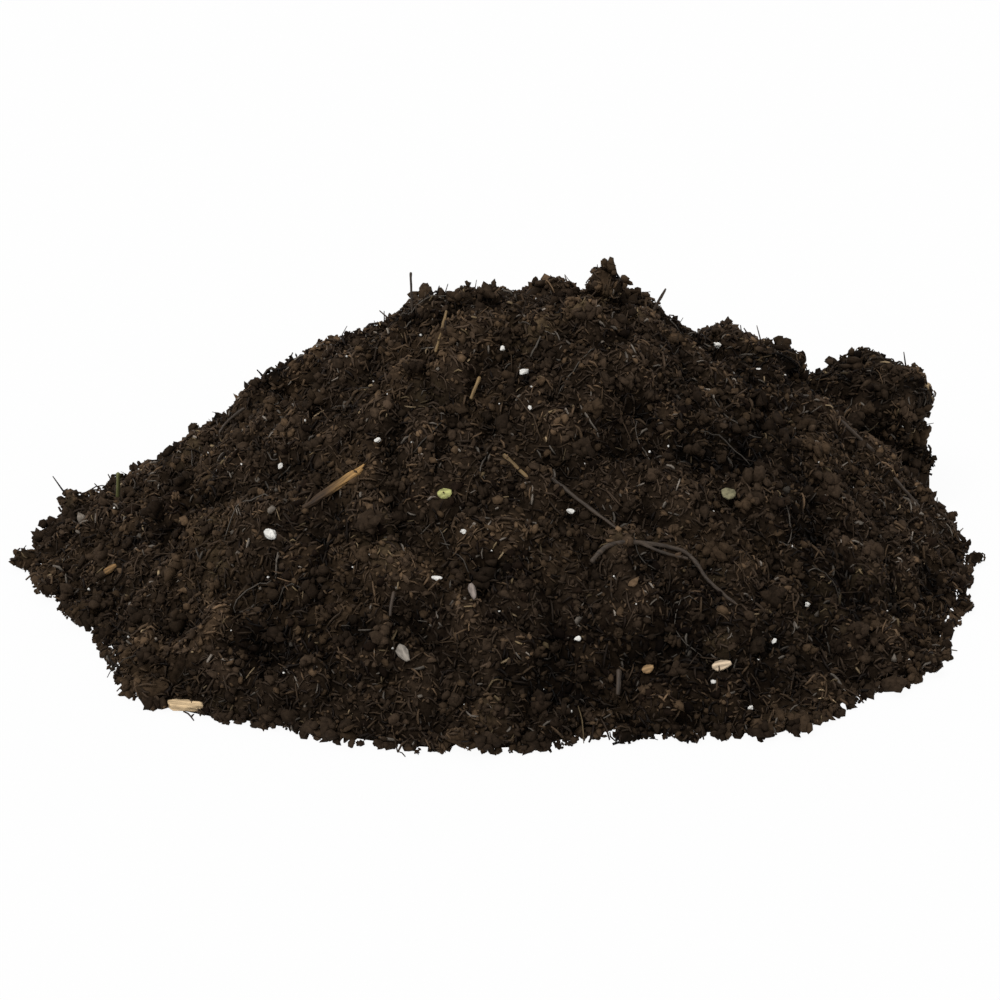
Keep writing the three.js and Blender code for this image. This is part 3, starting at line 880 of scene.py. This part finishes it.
def build_foot_clusters():
    """A ragged ring of clumps that hides the hem of the ground."""
    turns = np.linspace(-math.pi, math.pi, FOOT_CLUSTER_COUNT, endpoint=False)
    turns += rng.normal(0, 0.012, len(turns))
    sizes = spread_sizes(len(turns), FOOT_CLUSTERS)
    ways = np.column_stack([np.cos(turns), np.sin(turns), np.zeros_like(turns)])
    raggedness = 1.2 * noise(60 * ways, 7, 30) + rng.uniform(-0.6, 1.6, len(turns))
    away = foot_radius(turns) - 0.4 * sizes + raggedness
    spots = ways * away[:, None] + [*HEAP_AXIS, 0]
    spots[:, 2] = sizes * rng.uniform(0.25, 0.42, len(turns))
    clear = clear_of_trims(spots, 1 + 0.5 * sizes)
    build_clusters("foot_clusters", spots[clear], sizes[clear])


def build_clumps():
    """The clumps that shape the outline where the photograph shows them."""
    trees = (mass_tree, *clod_trees.values())
    centres = np.array([under_pixel(spot.u, spot.v, trees) for spot in CLUMPS])
    sizes = np.array([2.0 * spot.radius for spot in CLUMPS])
    centres[:, 2] = np.maximum(centres[:, 2], 0.35 * sizes)
    build_clusters("clumps", centres, sizes)


build_granules("fine_granules", FINE_GRANULE_COUNT, FINE_GRANULES, FINE_GRAIN, lift=(0.1, 0.6))
build_granules("granules", GRANULE_COUNT, GRANULES, GRAIN, lift=(0.0, 0.3))
build_skin_clusters()
build_foot_clusters()
build_clumps()


# Fibres

def wandering_paths(spots, normals, lengths, steps, curl):
    """Paths that lie in the skin's plane about their spots, and bend as they go."""
    count = len(spots)
    u = unit(np.cross(normals, unit(rng.normal(size=(count, 3)))))
    v = np.cross(normals, u)
    turns = rng.normal(0, curl, (count, 1)) + rng.normal(0, curl / 2, (count, steps))
    heading = np.cumsum(turns, axis=1)[..., None]
    legs = (np.cos(heading) * u[:, None] + np.sin(heading) * v[:, None]) * (lengths / steps)[:, None, None]
    paths = np.concatenate([np.zeros((count, 1, 3)), np.cumsum(legs, axis=1)], axis=1)
    return spots[:, None] + paths - paths.mean(axis=1, keepdims=True)


TUBE_SIDES = 3


def tubes(paths, radii, normals):
    """Slim tubes along paths, with a radius at each point: points, triangles and map places."""
    count, rings, _ = paths.shape
    along = unit(np.gradient(paths, axis=1))
    side = unit(np.cross(along, normals[:, None]))
    over = np.cross(side, along)
    angles = math.pi / 2 + 2 * math.pi * np.arange(TUBE_SIDES) / TUBE_SIDES
    ring = np.cos(angles)[:, None] * side[:, :, None] + np.sin(angles)[:, None] * over[:, :, None]
    points = paths[:, :, None] + ring * radii[:, :, None, None]
    points[..., 2] = np.maximum(points[..., 2], FLOOR_CLEARANCE)
    near = np.arange(rings - 1)[:, None] * TUBE_SIDES + np.arange(TUBE_SIDES)
    beside = np.arange(rings - 1)[:, None] * TUBE_SIDES + np.roll(np.arange(TUBE_SIDES), -1)
    quads = [(near, beside, beside + TUBE_SIDES), (near, beside + TUBE_SIDES, near + TUBE_SIDES)]
    faces = np.vstack([np.stack(quad, axis=-1).reshape(-1, 3) for quad in quads])
    end = (rings - 1) * TUBE_SIDES
    faces = np.vstack([faces, [[0, 2, 1], [end, end + 1, end + 2]]])
    triangles = faces[None] + (np.arange(count) * rings * TUBE_SIDES)[:, None, None]
    u, v = np.meshgrid(np.linspace(0, 1, rings), np.arange(TUBE_SIDES) / TUBE_SIDES, indexing="ij")
    uv = cell_map(count, np.stack([u, v], axis=-1).reshape(-1, 2))
    return points.reshape(-1, 3), triangles.reshape(-1, 3), uv


def taper(rings, thin):
    """Shares of the full radius along a fibre that thins to both ends."""
    return thin + (1 - thin) * np.sin(np.linspace(0.12, 0.88, rings) * math.pi)


def build_fibres(name, paths, radii, normals, colours, thin):
    count, rings, _ = paths.shape
    points, triangles, uv = tubes(paths, radii[:, None] * taper(rings, thin), normals)
    tint = np.repeat(colours, rings * TUBE_SIDES, axis=0)
    make_piece(name, points, triangles, fibre_material, tint, uv)


def build_matted_fibres(count, lengths, steps, curl, thin, parts):
    """Fibres that lie on the skin, with their ends a little off it or in it, as one piece for each name."""
    spots, normals, host = strewn(count)
    clear = clear_of_trims(spots, 0.8)
    spots, normals, host = spots[clear], normals[clear], host[clear]
    count = len(spots)
    lengths = spread_sizes(count, lengths)
    paths = wandering_paths(spots, normals, lengths, steps, curl)
    ends = rng.normal(0.5, 0.5, (count, 2))
    share = np.linspace(0, 1, steps + 1)
    lift = ends[:, :1] * (1 - share) + ends[:, 1:] * share + 0.3 * np.sin(share * math.pi)
    paths = laid(paths, host, lift)
    radii = rng.uniform(*FIBRE_RADII, count) * np.clip(lengths / 3, 0.8, 1)
    colours = tints(spots, contrast=0.22, bright=0.06)
    band = np.digitize(spots[:, 1], np.quantile(spots[:, 1], np.linspace(0, 1, len(parts) + 1)[1:-1]))
    for index, part in enumerate(parts):
        pick = band == index
        build_fibres(part, paths[pick], radii[pick], normals[pick], colours[pick], thin)


def build_bristles():
    """Short stout fibres that stand out of the skin."""
    spots, normals, _ = strewn(BRISTLE_COUNT)
    count = len(spots)
    lengths = spread_sizes(count, BRISTLES)
    way = unit(normals + 0.9 * rng.normal(size=(count, 3)) * [1, 1, 0.6])
    bend = 0.5 * rng.normal(size=(count, 3))
    share = np.linspace(-0.3, 1, 3)[None, :, None]
    paths = spots[:, None] + lengths[:, None, None] * (way[:, None] * share + bend[:, None] * share**2)
    paths[..., 2] = np.maximum(paths[..., 2], BRISTLE_CLEARANCE)
    radii = rng.uniform(*BRISTLE_RADII, count)
    across = unit(np.cross(way, rng.normal(size=(count, 3))))
    build_fibres("bristles", paths, radii, across, tints(spots, contrast=0.25, bright=0.05), thin=0.3)


def build_rootlets():
    """Long thin roots that wander over the skin."""
    spots, normals, host = strewn(ROOTLET_COUNT)
    count = len(spots)
    steps = 9
    lengths = rng.uniform(*ROOTLET_LENGTHS, count)
    paths = wandering_paths(spots, normals, lengths, steps, curl=0.22)
    lift = 0.9 + 0.5 * rng.normal(size=(count, 1)) + 0.25 * rng.normal(size=(count, steps + 1))
    paths = laid(paths, host, lift)
    radii = rng.uniform(*ROOTLET_RADII, count)
    colours = np.where(rng.random((count, 1)) < 0.4, GREY, BROWN) * rng.uniform(0.35, 0.9, (count, 1))
    build_fibres("rootlets", paths, radii, normals, colours, thin=0.5)


SHORT_FIBRE_PIECES = ("front_short_fibres", "back_short_fibres")

build_matted_fibres(SHORT_FIBRE_COUNT, SHORT_FIBRES, steps=2, curl=0.25, thin=0.7, parts=SHORT_FIBRE_PIECES)
build_matted_fibres(LONG_FIBRE_COUNT, LONG_FIBRES, steps=4, curl=0.16, thin=0.4, parts=("long_fibres",))
build_bristles()
build_rootlets()


# Grit: the finest white grains

def build_grit():
    spots, normals, _ = strewn(GRIT_COUNT)
    sizes = rng.uniform(*GRIT_SIZES, len(spots))
    colours = np.tile(PERLITE_WHITE, (len(spots), 1))
    build_crumbs("fine_grit", spots + normals, sizes, GRAIN, uneven=0.16, colours=colours,
                 material=perlite_material)


build_grit()


# Chips, straws, roots and grains, each in the place of its node

def own_frame(points):
    """A frame at the middle of a piece, with X along its longest way and Z along its shortest."""
    middle = points.mean(axis=0)
    _, axes = np.linalg.eigh(np.cov((points - middle).T))
    x, y = axes[:, 2], axes[:, 1]
    place = np.eye(4)
    place[:3, :3] = np.column_stack([x, y, np.cross(x, y)])
    place[:3, 3] = middle
    return place


def trim_tint(name, slot, points):
    """The colour of a chip, stem or grain: its own, or else its slot's. The sliver darkens to the left."""
    if name == "bark_sliver":
        share = smoothstep(0.3, 0.9, (points[:, :1] - points[:, 0].min()) / np.ptp(points[:, 0]))
        return SLIVER_ENDS[0] + share * (SLIVER_ENDS[1] - SLIVER_ENDS[0])
    return np.tile(NODE_COLOURS.get(name, SLOT_COLOURS[slot]), (len(points), 1))


def build_trim(name, material, slot, edge, rounds, waves, inset=0.0):
    """A finer mesh in the place of a node, roughened by waves of noise, each a length and a height."""
    points, triangles = fine_node(name, edge, rounds)
    place = own_frame(points)
    local = (points - place[:3, 3]) @ place[:3, :3]
    rise = sum(height * noise(local * [0.35, 1, 1], wave, 40 + k) for k, (wave, height) in enumerate(waves))
    points = points + normals_of(points, triangles) * (rise - inset)[:, None]
    tint = trim_tint(name, slot, points)
    piece = make_piece(name + "_detail", points, triangles, material, tint, place=place)
    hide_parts(name)


CHIP_MATERIALS = {"wood_chip": wood_material, "bark": bark_material, "leaf": leaf_material}
STEM_SLOTS = ("straw", "green_stem", "root")
CHIP_WAVES = ((3.0, 0.5), (1.2, 0.25))
STEM_WAVES = ((1.8, 0.24), (0.8, 0.1))
GRAIN_WAVES = ((2.0, 0.6), (0.9, 0.3))

for subpart in frame["record"]["subparts"]:
    node, slot = subpart["node"], subpart["material_slot"]
    if slot in CHIP_MATERIALS:
        build_trim(node, CHIP_MATERIALS[slot], slot, edge=0.6, rounds=0, waves=CHIP_WAVES)
    elif slot in STEM_SLOTS:
        build_trim(node, stem_material, slot, edge=0.75, rounds=1, waves=STEM_WAVES)
    elif slot == "perlite":
        build_trim(node, perlite_material, slot, edge=0.4, rounds=1, waves=GRAIN_WAVES, inset=0.25)


# The stage

FLOOR_REACH = 3000.0
FLOOR_GLOW = 0.95
WORLD_STRENGTH = 0.55


def shown_white(tree, shown, plain, share):
    """A mix that is mostly the shown side where the camera looks, and the plain one for light."""
    path = tree.nodes.new("ShaderNodeLightPath")
    seen = path.outputs["Is Camera Ray"]
    for other in ("Is Glossy Ray", "Is Transmission Ray"):
        either = tree.nodes.new("ShaderNodeMath")
        either.operation = "MAXIMUM"
        tree.links.new(seen, either.inputs[0])
        tree.links.new(path.outputs[other], either.inputs[1])
        seen = either.outputs[0]
    part = tree.nodes.new("ShaderNodeMath")
    part.operation = "MULTIPLY"
    part.inputs[1].default_value = share
    tree.links.new(seen, part.inputs[0])
    mix = tree.nodes.new("ShaderNodeMixShader")
    tree.links.new(part.outputs[0], mix.inputs[0])
    tree.links.new(plain, mix.inputs[1])
    tree.links.new(shown, mix.inputs[2])
    return mix.outputs[0]


def build_floor():
    side = FLOOR_REACH * MM
    corners = [(-side, -side, 0), (side, -side, 0), (side, side, 0), (-side, side, 0)]
    mesh = bpy.data.meshes.new("floor")
    mesh.from_pydata(corners, [], [(0, 1, 2, 3)])
    floor = bpy.data.objects.new("floor", mesh)
    bpy.context.scene.collection.objects.link(floor)
    material, tree, shader = new_material("floor_white", roughness=0.9, specular=0.1)
    shader.inputs["Base Color"].default_value = (0.85, 0.85, 0.85, 1)
    glow = tree.nodes.new("ShaderNodeEmission")
    output = tree.nodes["Material Output"]
    mixed = shown_white(tree, glow.outputs[0], shader.outputs[0], FLOOR_GLOW)
    tree.links.new(mixed, output.inputs["Surface"])
    mesh.materials.append(material)


def build_world():
    world = bpy.data.worlds.new("studio")
    bpy.context.scene.world = world
    world.use_nodes = True
    tree = world.node_tree
    plain = tree.nodes["Background"]
    plain.inputs["Color"].default_value = (1, 1, 1, 1)
    plain.inputs["Strength"].default_value = WORLD_STRENGTH
    white = tree.nodes.new("ShaderNodeBackground")
    white.inputs["Color"].default_value = (1, 1, 1, 1)
    white.inputs["Strength"].default_value = 1
    mixed = shown_white(tree, white.outputs[0], plain.outputs[0], 1)
    tree.links.new(mixed, tree.nodes["World Output"].inputs["Surface"])


def build_sun(name, azimuth, elevation, strength, softness):
    """A soft lamp that shines from a bearing, counted from the front towards the right, and a height."""
    lamp = bpy.data.lights.new(name, "SUN")
    lamp.energy = strength
    lamp.angle = math.radians(softness)
    sun = bpy.data.objects.new(name, lamp)
    sun.rotation_euler = (math.radians(90 - elevation), 0, math.radians(azimuth))
    bpy.context.scene.collection.objects.link(sun)


def build_camera():
    lens = bpy.data.cameras.new("camera")
    lens.lens = LENS
    lens.sensor_width = SENSOR
    lens.clip_end = CLIP_END * MM
    camera = bpy.data.objects.new("camera", lens)
    camera.location = EYE * MM
    camera.rotation_euler = (math.pi / 2 - CAMERA_ELEVATION, 0, 0)
    bpy.context.scene.collection.objects.link(camera)
    bpy.context.scene.camera = camera


build_floor()
build_world()
build_sun("key", azimuth=-35, elevation=55, strength=1.7, softness=25)
build_camera()
bpy.context.scene.view_settings.view_transform = "Standard"
